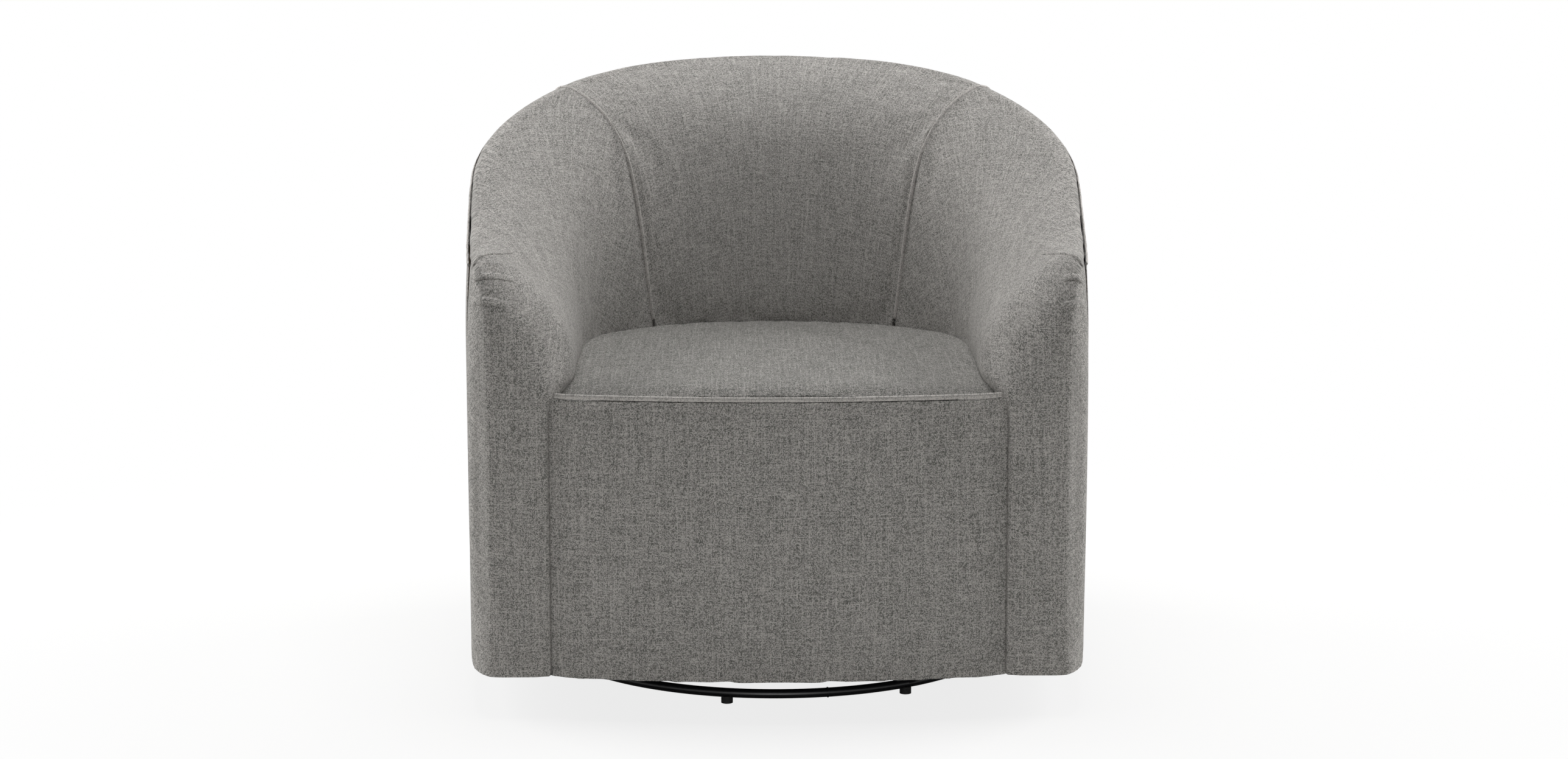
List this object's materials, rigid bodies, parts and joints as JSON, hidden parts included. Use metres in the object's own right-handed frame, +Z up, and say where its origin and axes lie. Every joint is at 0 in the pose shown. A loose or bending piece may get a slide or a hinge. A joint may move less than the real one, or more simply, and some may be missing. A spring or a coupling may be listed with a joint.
{
  "type": "swivel barrel armchair",
  "caption": "Upholstered barrel armchair with a rounded back flowing into the arms and a fixed seat, turning on a ball-bearing swivel over a round floor ring.",
  "frame": {"origin": "on the floor, on the swivel axis, under the middle of the chair", "axes": "+Z up along the swivel axis; the chair faces -Y; +X is to the right as seen from the front"},
  "size_m": [0.81, 0.81, 0.7683],
  "materials": {
    "black_steel": "semi-gloss black powder coat",
    "plated_steel": "zinc plated",
    "bearing_steel": "polished balls",
    "spring_steel": "oiled spring wire",
    "black_rubber": "matt moulded rubber",
    "nylon": "natural nylon",
    "black_cambric": "non-woven dust cloth",
    "foam": "upholstery foam",
    "hardwood": "planed hardwood",
    "woven_cloth": "plain weave heathered warm grey cloth"
  },
  "bodies": {
    "base": {"floor_ring": "black_steel", "floor_glides": "black_rubber", "base_spokes": "black_steel", "lower_race_plate": "plated_steel", "king_pin": "plated_steel", "king_pin_washer": "plated_steel", "king_pin_nut": "plated_steel"},
    "bearing": {"ball_cage": "nylon", "bearing_balls": "bearing_steel"},
    "chair": {"upper_race_plate": "plated_steel", "left_arm_post": "hardwood", "right_arm_post": "hardwood", "pivot_bushing": "nylon", "plate_bolts": "plated_steel", "plate_washers": "plated_steel", "tee_nuts": "plated_steel", "front_swivel_board": "hardwood", "rear_swivel_board": "hardwood", "front_cross_board": "hardwood", "left_bottom_rail": "hardwood", "right_bottom_rail": "hardwood", "back_bottom_rail": "hardwood", "front_bottom_rail": "hardwood", "left_arm_rail": "hardwood", "right_arm_rail": "hardwood", "back_top_rail": "hardwood", "back_uprights": "hardwood", "arm_uprights": "hardwood", "seat_front_rail": "hardwood", "seat_front_posts": "hardwood", "seat_back_rail": "hardwood", "seat_rear_posts": "hardwood", "left_seat_rail": "hardwood", "right_seat_rail": "hardwood", "corner_blocks": "hardwood", "sinuous_springs": "spring_steel", "spring_clips": "plated_steel", "deck_cloth": "black_cambric", "seat_foam": "foam", "front_foam": "foam", "back_foam": "foam", "left_arm_foam": "foam", "right_arm_foam": "foam", "seat_cover": "woven_cloth", "front_cover": "woven_cloth", "inside_back_cover": "woven_cloth", "left_arm_cover": "woven_cloth", "right_arm_cover": "woven_cloth", "outside_back_cover": "woven_cloth", "left_outside_cover": "woven_cloth", "right_outside_cover": "woven_cloth", "dust_cover": "black_cambric"}
  },
  "joints": [
    {"name": "chair_swivel", "type": "hinge", "parent": "base", "child": "chair", "pos_m": [0, 0, 0.05], "axis": [0, 0, 1], "continuous": true},
    {"name": "bearing_roll", "type": "hinge", "parent": "base", "child": "bearing", "pos_m": [0, 0, 0.05], "axis": [0, 0, 1], "continuous": true}
  ],
  "couplings": [
    {"joint": "bearing_roll", "follows": "chair_swivel", "ratio": 0.5}
  ]
}
